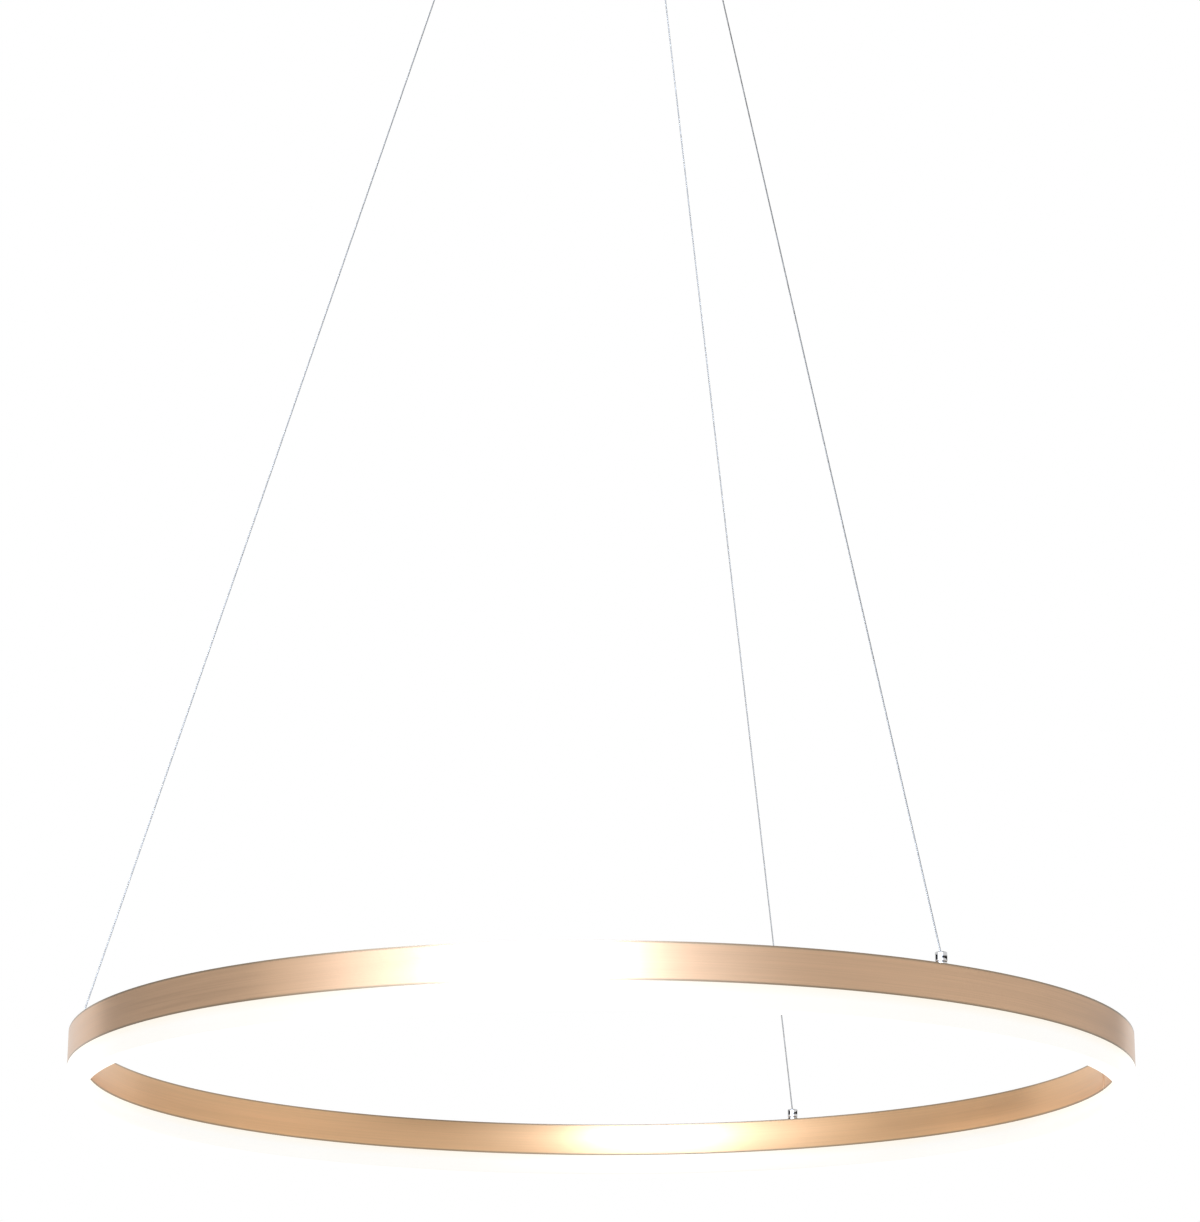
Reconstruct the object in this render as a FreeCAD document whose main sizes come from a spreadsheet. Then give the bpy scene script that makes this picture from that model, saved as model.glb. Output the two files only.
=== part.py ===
"""LED ring chandelier on three taut wires, as a parametric assembly in millimetres.

The origin is the middle of the ceiling bracket's upper face, with +Z up, so the whole lamp hangs
below zero. Suspension points 1, 2 and 3 lie 120 degrees apart, the third on the -X axis.
"""
import FreeCAD, Part
import os
import re

import Sketcher

# Alias, value in millimetres or degrees, meaning.
SIZES = [
    ("overall_drop", 1210, "ceiling to the diffuser's lower face, wires let out in full"),
    ("attach_turn", -60, "direction of suspension point 1, counter-clockwise from +X"),
    ("running_play", 0.06, "radial clearance of a part that slides or screws in a bore"),
    ("loose_play", 0.1, "radial clearance of a hole round a fixed part"),
    # ring
    ("ring_diameter", 800, "outside of the metal band"),
    ("ring_width", 14, "radial width of band and diffuser"),
    ("band_height", 26, "height of the metal band"),
    ("band_wall", 1.6, "thickness of the band's two walls"),
    ("band_web", 2, "thickness of the band's closed top"),
    # diffuser
    ("diffuser_drop", 17, "how far the diffuser hangs below the band"),
    ("diffuser_tongue", 7, "how far the diffuser's tongue reaches up inside the band"),
    ("diffuser_seat", 0.1, "gap between the diffuser's shoulders and the band"),
    ("diffuser_play", 0.15, "gap between the tongue and the band's walls"),
    # light source
    ("board_length", 80, "straight circuit board along the band"),
    ("board_width", 6, "circuit board across the band"),
    ("board_thickness", 1.6, "thickness of the circuit boards"),
    ("emitter_inset", 6, "end of a light-emitting strip from the end of its board"),
    ("emitter_width", 3, "light-emitting strip across its board"),
    ("emitter_height", 0.8, "light-emitting strip below its board"),
    # glands on the ring
    ("gland_radius", 4.2, "outside of the gland that holds a wire's end"),
    ("gland_height", 9, "height of the gland above the band"),
    ("gland_spare", 1, "gland that shows below the band's web"),
    ("gland_neck_radius", 1.5, "narrow bore at the gland's top, which lets the wire lean"),
    ("gland_neck", 1.5, "height of the narrow bore"),
    ("stop_radius", 1.8, "barrel stop swaged on the lower end of a wire"),
    ("stop_length", 5, "height of the barrel stop"),
    # wires
    ("wire_radius", 0.6, "suspension wire, which also carries the low voltage"),
    ("wire_end_gap", 0.1, "gap between a wire's end and its stop"),
    ("wire_bend_gap", 0.25, "gap between the taut wire and the release sleeve"),
    ("tail_length", 12, "end of a wire that stands out above its stud"),
    # canopy
    ("canopy_radius", 100, "outside of the canopy cup"),
    ("canopy_depth", 32, "height of the canopy cup"),
    ("canopy_wall", 1.2, "sheet thickness of the canopy cup"),
    ("gripper_circle", 70, "distance of the grippers from the axis"),
    # ceiling bracket
    ("bracket_width", 20, "width of the strap"),
    ("bracket_thickness", 2, "sheet thickness of the strap"),
    ("bracket_leg", 14, "height of the strap's turned-down ends"),
    ("bracket_bend", 2.5, "outer radius of the strap's bends"),
    ("bracket_play", 0.2, "gap between the strap's corners and the cup"),
    ("slot_spacing", 110, "distance between the middles of the two slots"),
    ("slot_length", 22, "end-to-end length of a slot"),
    ("slot_half_width", 2.6, "half the width of a slot"),
    ("cable_hole_radius", 6, "hole for the supply cable"),
    ("side_screw_level", 8, "thumb screws below the ceiling"),
    ("side_screw_radius", 2, "thread of a thumb screw"),
    ("side_screw_reach", 6, "thumb screw beyond the cup's outside, inwards"),
    ("side_head_radius", 4.5, "head of a thumb screw"),
    ("side_head_height", 5, "height of a thumb screw's head"),
    # driver and terminals
    ("driver_length", 124, "driver case along Y"),
    ("driver_width", 34, "driver case along X"),
    ("driver_height", 19, "driver case along Z"),
    ("driver_corner", 3, "radius of the case's upright edges"),
    ("driver_place", 29, "middle of the case from the axis, towards -X"),
    ("tape_thickness", 1, "foam tape that holds the driver"),
    ("tape_inset", 4, "tape inside the case's outline"),
    ("terminal_pitch", 8, "distance between two terminals"),
    ("terminal_depth", 17, "terminal block along X"),
    ("terminal_height", 12, "terminal block along Z"),
    ("terminal_place", 25, "middle of the terminal block from the axis, towards +Y"),
    ("terminal_groove", 1, "half width of the grooves between terminals"),
    ("terminal_groove_depth", 4, "depth of those grooves"),
    ("terminal_entry", 3.4, "width and height of a square wire entry"),
    ("terminal_foot", 5.5, "wire entries above the block's lower face"),
    # wire grippers
    ("housing_radius", 6, "outside of a gripper's barrel"),
    ("housing_length", 20, "height of the barrel below the canopy"),
    ("stud_radius", 4, "threaded stud through the canopy"),
    ("stud_spare", 2, "stud that shows above its nut"),
    ("stud_nut_width", 12, "stud nut across its flats"),
    ("stud_nut_height", 3.5, "height of the stud nut"),
    ("nose_radius", 1.9, "outside of the release sleeve"),
    ("nose_reach", 4, "how far the release sleeve stands out"),
    ("sleeve_length", 16, "height of the release sleeve"),
]

# Levels and distances that several pieces share, written in the sheet's own names.
BAND_LEVEL = "(diffuser_drop - overall_drop)"
BAND_RADIUS = "(ring_diameter / 2)"
BAND_BORE = "(ring_diameter / 2 - ring_width)"
ATTACH_RADIUS = "((ring_diameter - ring_width) / 2)"
CHANNEL_OUTSIDE = "(ring_diameter / 2 - band_wall)"
CHANNEL_INSIDE = "(ring_diameter / 2 - ring_width + band_wall)"
WEB_LEVEL = "(band_height - band_web)"
STOP_LEVEL = f"({BAND_LEVEL} + band_height + gland_height - gland_neck)"
HOUSING_LOW = "(-housing_length)"
NOSE_LOW = f"({HOUSING_LOW} - nose_reach)"
NOSE_LEVEL = f"({NOSE_LOW} - canopy_depth)"
STUD_TOP = "(canopy_wall + stud_nut_height + stud_spare)"
SLEEVE_BORE = "(nose_radius + running_play)"
WIRE_DROP = f"({NOSE_LEVEL} - {STOP_LEVEL})"
WIRE_SPREAD = f"({ATTACH_RADIUS} - gripper_circle)"
WIRE_LENGTH = f"sqrt({WIRE_DROP} ^ 2 + {WIRE_SPREAD} ^ 2)"
WIRE_TILT = f"atan({WIRE_SPREAD} / {WIRE_DROP})"
WIRE_START = f"((wire_end_gap + wire_radius * sin({WIRE_TILT})) / cos({WIRE_TILT}))"
CUP_BORE = "(canopy_radius - canopy_wall)"
BRACKET_END = f"sqrt(({CUP_BORE} - bracket_play) ^ 2 - (bracket_width / 2) ^ 2)"
SLOT_REACH = "(slot_length / 2 - slot_half_width)"
TERMINAL_LENGTH = "(3 * terminal_pitch)"
CANOPY_LEVEL = "(-canopy_depth)"

SUSPENSION_POINTS = (1, 2, 3)
BOARDS_PER_THIRD = 8

doc = FreeCAD.newDocument("RingChandelier")
sheet = doc.addObject("Spreadsheet::Sheet", "Sizes")
NAMES = {alias for alias, _, _ in SIZES}
kept = []


def fill_sheet():
    """Write every driving size, its alias and its meaning into the spreadsheet."""
    for row, (alias, size, meaning) in enumerate(SIZES, start=1):
        sheet.set(f"A{row}", meaning)
        sheet.set(f"B{row}", str(size))
        sheet.setAlias(f"B{row}", alias)
    doc.recompute()


def formula(text):
    """The same formula with each size read from the sheet."""
    return re.sub(r"[a-z_]+", lambda m: f"Sizes.{m[0]}" if m[0] in NAMES else m[0], text)


def value(text):
    """What a formula comes to, as a number."""
    return float(getattr(sheet.evalExpression(text), "Value", sheet.evalExpression(text)))


def bind(thing, **formulas):
    """Bind properties of an object to formulas in the sheet's names."""
    for name, text in formulas.items():
        thing.setExpression(name, formula(text))


def place(thing, radius="0", level="0", turn="0", tilt="0"):
    """Put an object at a distance from the axis, turned about Z and leant towards the axis."""
    thing.setExpression("Placement", formula(
        f"create(<<placement>>; create(<<vector>>; ({radius}) * cos(({turn}) * 1 deg);"
        f" ({radius}) * sin(({turn}) * 1 deg); {level});"
        f" create(<<rotation>>; create(<<vector>>; 0; 0; 1); {turn})"
        f" * create(<<rotation>>; create(<<vector>>; 0; 1; 0); -({tilt})))"))
    return thing


def turn_of(point):
    """Direction of a suspension point."""
    return f"(attach_turn + {point - 1} * 120)"


def keep(thing, label):
    """Name a finished sub-part, so that it is written out."""
    thing.Label = label
    kept.append(thing)
    return thing


def origin_plane(body, role):
    """One of a body's own origin planes."""
    return next(o for o in body.Origin.OriginFeatures if o.Role == role)


def new_sketch(body, role):
    """An empty sketch on one of the body's origin planes."""
    sketch = body.newObject("Sketcher::SketchObject", "Sketch")
    sketch.AttachmentSupport = [(origin_plane(body, role), "")]
    sketch.MapMode = "FlatFace"
    return sketch


def fix_point(sketch, geometry, end, x, y):
    """Hold a point of a sketch at two formulas, measured from the sketch's origin."""
    for kind, text in (("DistanceX", x), ("DistanceY", y)):
        index = sketch.addConstraint(Sketcher.Constraint(kind, -1, 1, geometry, end, value(text)))
        sketch.setExpression(f"Constraints[{index}]", formula(text))


def outline(body, role, corners, sketch=None):
    """A closed outline of straight lines through corners given as pairs of formulas."""
    sketch = sketch or new_sketch(body, role)
    points = [FreeCAD.Vector(value(x), value(y), 0) for x, y in corners]
    ends = points[1:] + points[:1]
    lines = sketch.addGeometry([Part.LineSegment(a, b) for a, b in zip(points, ends)], False)
    for line, after in zip(lines, lines[1:] + lines[:1]):
        sketch.addConstraint(Sketcher.Constraint("Coincident", line, 2, after, 1))
    for line, (x, y) in zip(lines, corners):
        fix_point(sketch, line, 1, x, y)
    return sketch


def rectangle(body, role, x_low, x_high, y_low, y_high, sketch=None):
    """A rectangle between four formulas."""
    corners = [(x_low, y_low), (x_high, y_low), (x_high, y_high), (x_low, y_high)]
    return outline(body, role, corners, sketch)


def circles(body, role, places):
    """A sketch of circles, each given by the formulas of its centre and radius."""
    sketch = new_sketch(body, role)
    for x, y, radius in places:
        centre = FreeCAD.Vector(value(x), value(y), 0)
        ring = sketch.addGeometry(Part.Circle(centre, FreeCAD.Vector(0, 0, 1), value(radius)), False)
        index = sketch.addConstraint(Sketcher.Constraint("Radius", ring, value(radius)))
        sketch.setExpression(f"Constraints[{index}]", formula(radius))
        fix_point(sketch, ring, 3, x, y)
    return sketch


def revolve(body, sketch, angle="360"):
    """Turn a section about the body's Z axis."""
    turned = body.newObject("PartDesign::Revolution", "Revolution")
    turned.Profile = sketch
    turned.ReferenceAxis = (sketch, ["V_Axis"])
    bind(turned, Angle=angle)
    return turned


def pad(body, sketch, length, midplane=False, downwards=False):
    """Raise a sketch into a solid."""
    raised = body.newObject("PartDesign::Pad", "Pad")
    raised.Profile = sketch
    raised.Midplane = midplane
    raised.Reversed = downwards
    bind(raised, Length=length)
    return raised


def cut_through(body, sketch, midplane=False, upwards=False):
    """Cut a sketch right through the body."""
    cut = body.newObject("PartDesign::Pocket", "Pocket")
    cut.Profile = sketch
    cut.Type = "ThroughAll"
    cut.Midplane = midplane
    cut.Reversed = upwards
    return cut


def dress(body, kind, chosen, **formulas):
    """Fillet or chamfer the edges of a body that a test chooses."""
    doc.recompute()
    base = body.Tip
    edges = [f"Edge{i}" for i, edge in enumerate(base.Shape.Edges, start=1) if chosen(edge.BoundBox)]
    dressed = body.newObject(f"PartDesign::{kind}", kind)
    dressed.Base = (base, edges)
    bind(dressed, **formulas)
    return dressed


def turned_body(label, corners, angle="360"):
    """A body turned from one section, given as pairs of radius and height."""
    body = doc.addObject("PartDesign::Body", label)
    revolve(body, outline(body, "XZ_Plane", corners), angle)
    return body


def screw(label, head_radius, head_height, thread_radius, thread_length):
    """A round-headed screw whose head stands on Z = 0 and whose thread points down."""
    corners = [
        ("0", f"-({thread_length})"),
        (thread_radius, f"-({thread_length})"),
        (thread_radius, "0"),
        (head_radius, "0"),
        (head_radius, head_height),
        ("0", head_height),
    ]
    return turned_body(label, corners)


def hexagon_nut(label, width, height, bore):
    """A plain hexagon nut that stands on Z = 0, with two flats square to X."""
    hexagon = doc.addObject("Part::Prism", "Hexagon")
    hexagon.Polygon = 6
    bind(hexagon, Circumradius=f"({width}) / sqrt(3)", Height=height)
    place(hexagon, turn="30")
    hole = doc.addObject("Part::Cylinder", "Hole")
    bind(hole, Radius=bore, Height=height)
    nut = doc.addObject("Part::Cut", label)
    nut.Base = hexagon
    nut.Tool = hole
    return nut


def group(label, pieces):
    """Separate solids that share one node."""
    together = doc.addObject("Part::Compound", label)
    together.Links = pieces
    return keep(together, label)


def ceiling_bracket():
    """Sheet-metal strap along Y with turned-down ends, slots for the ceiling screws and a cable hole."""
    body = doc.addObject("PartDesign::Body", "CeilingBracket")
    inner = f"({BRACKET_END} - bracket_thickness)"
    section = outline(body, "YZ_Plane", [
        (f"-{BRACKET_END}", "0"),
        (f"-{BRACKET_END}", "-bracket_leg"),
        (f"-{inner}", "-bracket_leg"),
        (f"-{inner}", "-bracket_thickness"),
        (inner, "-bracket_thickness"),
        (inner, "-bracket_leg"),
        (BRACKET_END, "-bracket_leg"),
        (BRACKET_END, "0"),
    ])
    pad(body, section, "bracket_width", midplane=True)
    slots = None
    ends = []
    for middle in ("slot_spacing / 2", "-slot_spacing / 2"):
        slots = rectangle(body, "XY_Plane", "-slot_half_width", "slot_half_width",
                          f"{middle} - {SLOT_REACH}", f"{middle} + {SLOT_REACH}", slots)
        ends += [f"{middle} - {SLOT_REACH}", f"{middle} + {SLOT_REACH}"]
    cut_through(body, slots)
    holes = circles(body, "XY_Plane", [("0", end, "slot_half_width") for end in ends] + [
        ("0", "0", "cable_hole_radius"),
    ])
    cut_through(body, holes)
    cut_through(body, circles(body, "XZ_Plane", [
        ("0", "-side_screw_level", "side_screw_radius + running_play")]), midplane=True)
    end = value(BRACKET_END)
    dress(body, "Fillet", lambda box: box.ZMin > -1e-6 and abs(box.YMin) > end - 1e-6
          and box.YLength < 1e-6, Radius="bracket_bend")
    return keep(body, "ceiling_bracket")


def canopy_cup():
    """Pressed cup, open towards the ceiling, with holes for the grippers and the thumb screws."""
    body = turned_body("CanopyCup", [
        ("0", CANOPY_LEVEL),
        ("canopy_radius", CANOPY_LEVEL),
        ("canopy_radius", "0"),
        (CUP_BORE, "0"),
        (CUP_BORE, f"{CANOPY_LEVEL} + canopy_wall"),
        ("0", f"{CANOPY_LEVEL} + canopy_wall"),
    ])
    cut_through(body, circles(body, "XY_Plane", [
        (f"gripper_circle * cos({turn_of(point)} * 1 deg)",
         f"gripper_circle * sin({turn_of(point)} * 1 deg)",
         "stud_radius + loose_play") for point in SUSPENSION_POINTS]))
    cut_through(body, circles(body, "XZ_Plane", [
        ("0", "-side_screw_level", "side_screw_radius + loose_play")]), midplane=True)
    return keep(body, "canopy_cup")


def thumb_screws():
    """Two round thumb screws that hold the cup to the bracket's ends."""
    pieces = []
    for turn in ("90", "-90"):
        piece = screw("ThumbScrew", "side_head_radius", "side_head_height",
                      "side_screw_radius", "side_screw_reach")
        place(piece, "canopy_radius", "-side_screw_level", turn, "-90")
        pieces.append(piece)
    return group("canopy_screws", pieces)


def terminal_block():
    """Terminal block for the supply cable, with three poles divided by grooves."""
    body = doc.addObject("PartDesign::Body", "TerminalBlock")
    top = "(-bracket_thickness)"
    low = f"({top} - terminal_height)"
    floor = f"{low} + terminal_groove_depth"
    corners = [(f"terminal_place - {TERMINAL_LENGTH} / 2", low)]
    for side in ("-1", "1"):
        middle = f"terminal_place + {side} * terminal_pitch / 2"
        corners += [
            (f"{middle} - terminal_groove", low),
            (f"{middle} - terminal_groove", floor),
            (f"{middle} + terminal_groove", floor),
            (f"{middle} + terminal_groove", low),
        ]
    corners += [
        (f"terminal_place + {TERMINAL_LENGTH} / 2", low),
        (f"terminal_place + {TERMINAL_LENGTH} / 2", top),
        (f"terminal_place - {TERMINAL_LENGTH} / 2", top),
    ]
    pad(body, outline(body, "YZ_Plane", corners), "terminal_depth", midplane=True)
    entries = None
    for pole in ("-1", "0", "1"):
        middle = f"terminal_place + {pole} * terminal_pitch"
        entries = rectangle(body, "YZ_Plane", f"{middle} - terminal_entry / 2",
                            f"{middle} + terminal_entry / 2",
                            f"{low} + terminal_foot - terminal_entry / 2",
                            f"{low} + terminal_foot + terminal_entry / 2", entries)
    cut_through(body, entries, midplane=True)
    return keep(body, "terminal_block")


def led_driver():
    """Driver case with round upright edges, on its foam tape."""
    tape = doc.addObject("PartDesign::Body", "DriverTape")
    pad(tape, rectangle(tape, "XY_Plane", "tape_inset - driver_width / 2", "driver_width / 2 - tape_inset",
                        "tape_inset - driver_length / 2", "driver_length / 2 - tape_inset"),
        "tape_thickness")
    place(tape, "-driver_place", f"{CANOPY_LEVEL} + canopy_wall")
    keep(tape, "driver_tape")

    case = doc.addObject("PartDesign::Body", "LedDriver")
    pad(case, rectangle(case, "XY_Plane", "-driver_width / 2", "driver_width / 2",
                        "-driver_length / 2", "driver_length / 2"), "driver_height")
    top = value("driver_height")
    dress(case, "Fillet", lambda box: box.ZLength > top - 1e-6, Radius="driver_corner")
    place(case, "-driver_place", f"{CANOPY_LEVEL} + canopy_wall + tape_thickness")
    return keep(case, "led_driver")


def gripper_bodies():
    """Barrels seated on the canopy's lower face, each with its threaded stud through the canopy."""
    return group("gripper_bodies", [
        place(turned_body("GripperBody", [
            (SLEEVE_BORE, HOUSING_LOW),
            ("housing_radius", HOUSING_LOW),
            ("housing_radius", "0"),
            ("stud_radius", "0"),
            ("stud_radius", STUD_TOP),
            (SLEEVE_BORE, STUD_TOP),
        ]), "gripper_circle", CANOPY_LEVEL, turn_of(point)) for point in SUSPENSION_POINTS])


def release_sleeve(point):
    """Sleeve round the wire that frees it when its lower end is pressed up into the barrel."""
    body = turned_body("ReleaseSleeve", [
        ("wire_radius + running_play", NOSE_LOW),
        ("nose_radius", NOSE_LOW),
        ("nose_radius", f"{NOSE_LOW} + sleeve_length"),
        ("wire_radius + running_play", f"{NOSE_LOW} + sleeve_length"),
    ])
    place(body, "gripper_circle", CANOPY_LEVEL, turn_of(point))
    return keep(body, f"release_sleeve_{point}")


def gripper_nuts():
    """Hexagon nuts on the studs, against the cup's inner floor."""
    nuts = []
    for point in SUSPENSION_POINTS:
        nut = hexagon_nut("StudNut", "stud_nut_width", "stud_nut_height", "stud_radius + running_play")
        nuts.append(place(nut, "gripper_circle", f"{CANOPY_LEVEL} + canopy_wall", turn_of(point)))
    return group("gripper_nuts", nuts)


def suspension_wire(point):
    """The taut wire from a gripper's sleeve down to the stop in its gland."""
    taut = doc.addObject("Part::Cylinder", "SuspensionWire")
    bind(taut, Radius="wire_radius", Height=f"{WIRE_LENGTH} - {WIRE_START} - wire_bend_gap")
    place(taut, f"{ATTACH_RADIUS} - {WIRE_START} * sin({WIRE_TILT})",
          f"{STOP_LEVEL} + {WIRE_START} * cos({WIRE_TILT})", turn_of(point), WIRE_TILT)
    return keep(taut, f"suspension_wire_{point}")


def wire_tails():
    """The upper ends of the wires, straight up through the grippers into the canopy."""
    tails = []
    for point in SUSPENSION_POINTS:
        tail = doc.addObject("Part::Cylinder", "WireTail")
        bind(tail, Radius="wire_radius", Height=f"{STUD_TOP} + tail_length - {NOSE_LOW}")
        tails.append(place(tail, "gripper_circle", NOSE_LEVEL, turn_of(point)))
    return group("wire_tails", tails)


def ring_profile():
    """Rolled and welded channel, open downwards, with a hole for each gland in its web."""
    body = turned_body("RingProfile", [
        (BAND_BORE, "band_height"),
        (BAND_RADIUS, "band_height"),
        (BAND_RADIUS, "0"),
        (CHANNEL_OUTSIDE, "0"),
        (CHANNEL_OUTSIDE, WEB_LEVEL),
        (CHANNEL_INSIDE, WEB_LEVEL),
        (CHANNEL_INSIDE, "0"),
        (BAND_BORE, "0"),
    ])
    cut_through(body, circles(body, "XY_Plane", [
        (f"{ATTACH_RADIUS} * cos({turn_of(point)} * 1 deg)",
         f"{ATTACH_RADIUS} * sin({turn_of(point)} * 1 deg)",
         "gland_radius + running_play") for point in SUSPENSION_POINTS]), upwards=True)
    place(body, level=BAND_LEVEL)
    return keep(body, "ring_profile")


def diffuser():
    """Opal ring below the band, whose tongue grips inside the channel."""
    body = turned_body("Diffuser", [
        (BAND_RADIUS, "-diffuser_drop"),
        (BAND_RADIUS, "-diffuser_seat"),
        (f"{CHANNEL_OUTSIDE} - diffuser_play", "-diffuser_seat"),
        (f"{CHANNEL_OUTSIDE} - diffuser_play", "diffuser_tongue"),
        (f"{CHANNEL_INSIDE} + diffuser_play", "diffuser_tongue"),
        (f"{CHANNEL_INSIDE} + diffuser_play", "-diffuser_seat"),
        (BAND_BORE, "-diffuser_seat"),
        (BAND_BORE, "-diffuser_drop"),
    ])
    place(body, level=BAND_LEVEL)
    return keep(body, "diffuser")


def plate(label, length, width, thickness, radius, level, turn):
    """A flat bar across one direction of the ring, whose upper face lies on a level."""
    body = doc.addObject("PartDesign::Body", label)
    pad(body, rectangle(body, "XY_Plane", f"-({width}) / 2", f"({width}) / 2",
                        f"-({length}) / 2", f"({length}) / 2"), thickness, downwards=True)
    return place(body, radius, level, turn)


def led_boards():
    """Straight circuit boards under the web, between the glands, and their light-emitting strips."""
    boards = []
    emitters = []
    for point in SUSPENSION_POINTS:
        for number in range(BOARDS_PER_THIRD):
            turn = f"{turn_of(point)} + {120 * (number + 0.5) / BOARDS_PER_THIRD}"
            boards.append(plate("LedBoard", "board_length", "board_width", "board_thickness",
                                ATTACH_RADIUS, f"{BAND_LEVEL} + {WEB_LEVEL}", turn))
            emitters.append(plate("LedEmitter", "board_length - 2 * emitter_inset", "emitter_width",
                                  "emitter_height", ATTACH_RADIUS,
                                  f"{BAND_LEVEL} + {WEB_LEVEL} - board_thickness", turn))
    group("led_boards", boards)
    return group("led_emitters", emitters)


def ring_glands():
    """Glands screwed into the band's web, and the stops that hold the wires' ends in them."""
    bore = "(stop_radius + loose_play)"
    low = "-(band_web + gland_spare)"
    glands = []
    stops = []
    for point in SUSPENSION_POINTS:
        gland = turned_body("RingGland", [
            (bore, low),
            ("gland_radius", low),
            ("gland_radius", "gland_height"),
            ("gland_neck_radius", "gland_height"),
            ("gland_neck_radius", "gland_height - gland_neck"),
            (bore, "gland_height - gland_neck"),
        ])
        glands.append(place(gland, ATTACH_RADIUS, f"{BAND_LEVEL} + band_height", turn_of(point)))
        stop = doc.addObject("Part::Cylinder", "WireStop")
        bind(stop, Radius="stop_radius", Height="stop_length")
        stops.append(place(stop, ATTACH_RADIUS, f"{STOP_LEVEL} - stop_length", turn_of(point)))
    group("ring_glands", glands)
    return group("wire_stops", stops)


def check():
    """Stop if any object failed, or a sub-part has no valid shape."""
    for thing in doc.Objects:
        if {"Invalid", "Error"} & set(thing.State):
            raise RuntimeError(f"{thing.Name} failed: {thing.State}")
    for thing in kept:
        if thing.Shape.isNull() or not thing.Shape.isValid() or not thing.Shape.Solids:
            raise RuntimeError(f"{thing.Label} has no valid shape")


def report():
    """Print the sizes that follow from the driving ones."""
    for name, text in (("length of a taut wire", WIRE_LENGTH), ("lean of a taut wire", WIRE_TILT),
                       ("level of the wires' bend", NOSE_LEVEL), ("level of the wires' stops", STOP_LEVEL),
                       ("level of the band's lower edge", BAND_LEVEL), ("bracket half length", BRACKET_END)):
        print(f"{name}: {value(text):.3f}")
    for thing in kept:
        print(f"{thing.Label}: {len(thing.Shape.Solids)} solids, {thing.Shape.Volume:.2f} mm3")


def main():
    """Build, check and write the whole chandelier."""
    fill_sheet()
    ceiling_bracket()
    canopy_cup()
    thumb_screws()
    terminal_block()
    led_driver()
    gripper_bodies()
    gripper_nuts()
    wire_tails()
    for point in SUSPENSION_POINTS:
        release_sleeve(point)
        suspension_wire(point)
    ring_profile()
    diffuser()
    led_boards()
    ring_glands()
    doc.recompute()
    check()
    report()
    os.makedirs("parts", exist_ok=True)
    for thing in kept:
        thing.Shape.exportStep(f"parts/{thing.Label}.step")


main()
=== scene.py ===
import logging
import math
from dataclasses import dataclass
from enum import Enum

import bmesh
import bpy
from mathutils import Matrix, Vector


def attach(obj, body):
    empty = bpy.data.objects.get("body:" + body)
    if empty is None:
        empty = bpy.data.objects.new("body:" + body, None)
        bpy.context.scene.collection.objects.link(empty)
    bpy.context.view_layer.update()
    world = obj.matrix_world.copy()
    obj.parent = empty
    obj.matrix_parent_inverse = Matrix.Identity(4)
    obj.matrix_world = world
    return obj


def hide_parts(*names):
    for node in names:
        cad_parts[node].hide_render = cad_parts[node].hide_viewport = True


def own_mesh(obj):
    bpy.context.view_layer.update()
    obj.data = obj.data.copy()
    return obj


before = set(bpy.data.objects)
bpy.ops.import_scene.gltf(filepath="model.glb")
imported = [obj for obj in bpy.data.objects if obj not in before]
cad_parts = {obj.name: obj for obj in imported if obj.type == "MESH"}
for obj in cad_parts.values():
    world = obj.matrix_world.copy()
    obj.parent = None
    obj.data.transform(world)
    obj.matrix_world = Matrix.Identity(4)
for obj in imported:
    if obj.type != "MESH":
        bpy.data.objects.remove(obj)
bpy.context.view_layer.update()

LOG = logging.getLogger("ring_chandelier")
MM = 0.001
FULL_TURN = 2 * math.pi
UP = Vector((0, 0, 1))
BAND_LOW = -1.193
BAND_HIGH = -1.167
BAND_WIDTH = 14 * MM
RING_RADIUS = 400 * MM
CANOPY_RADIUS = 100 * MM
CANOPY_DEPTH = 32 * MM
SAME = 1e-7
NEAR = 1e-6

Colour = tuple[float, float, float, float]
Triple = tuple[float, float, float]
Mesh = bmesh.types.BMesh
Socket = bpy.types.NodeSocket


class Body(Enum):
    """The rigid bodies that pieces ride on."""

    CANOPY = "canopy"
    RING = "ring"
    RELEASE_1 = "release_1"
    RELEASE_2 = "release_2"
    RELEASE_3 = "release_3"


class Slot(Enum):
    """The record's material slots."""

    CHAMPAGNE = "champagne_metal"
    OPAL = "opal_acrylic"
    CHROME = "chrome"
    WIRE = "wire_steel"
    PLASTIC = "white_plastic"
    FOAM = "foam"


def tint(red: float, green: float, blue: float) -> Colour:
    """A colour in linear light, with full alpha."""
    return (red, green, blue, 1.0)


def dimmed(colour: Colour, share: float) -> Colour:
    """A share of a colour's light."""
    return tint(*(share * part for part in colour[:3]))


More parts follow.
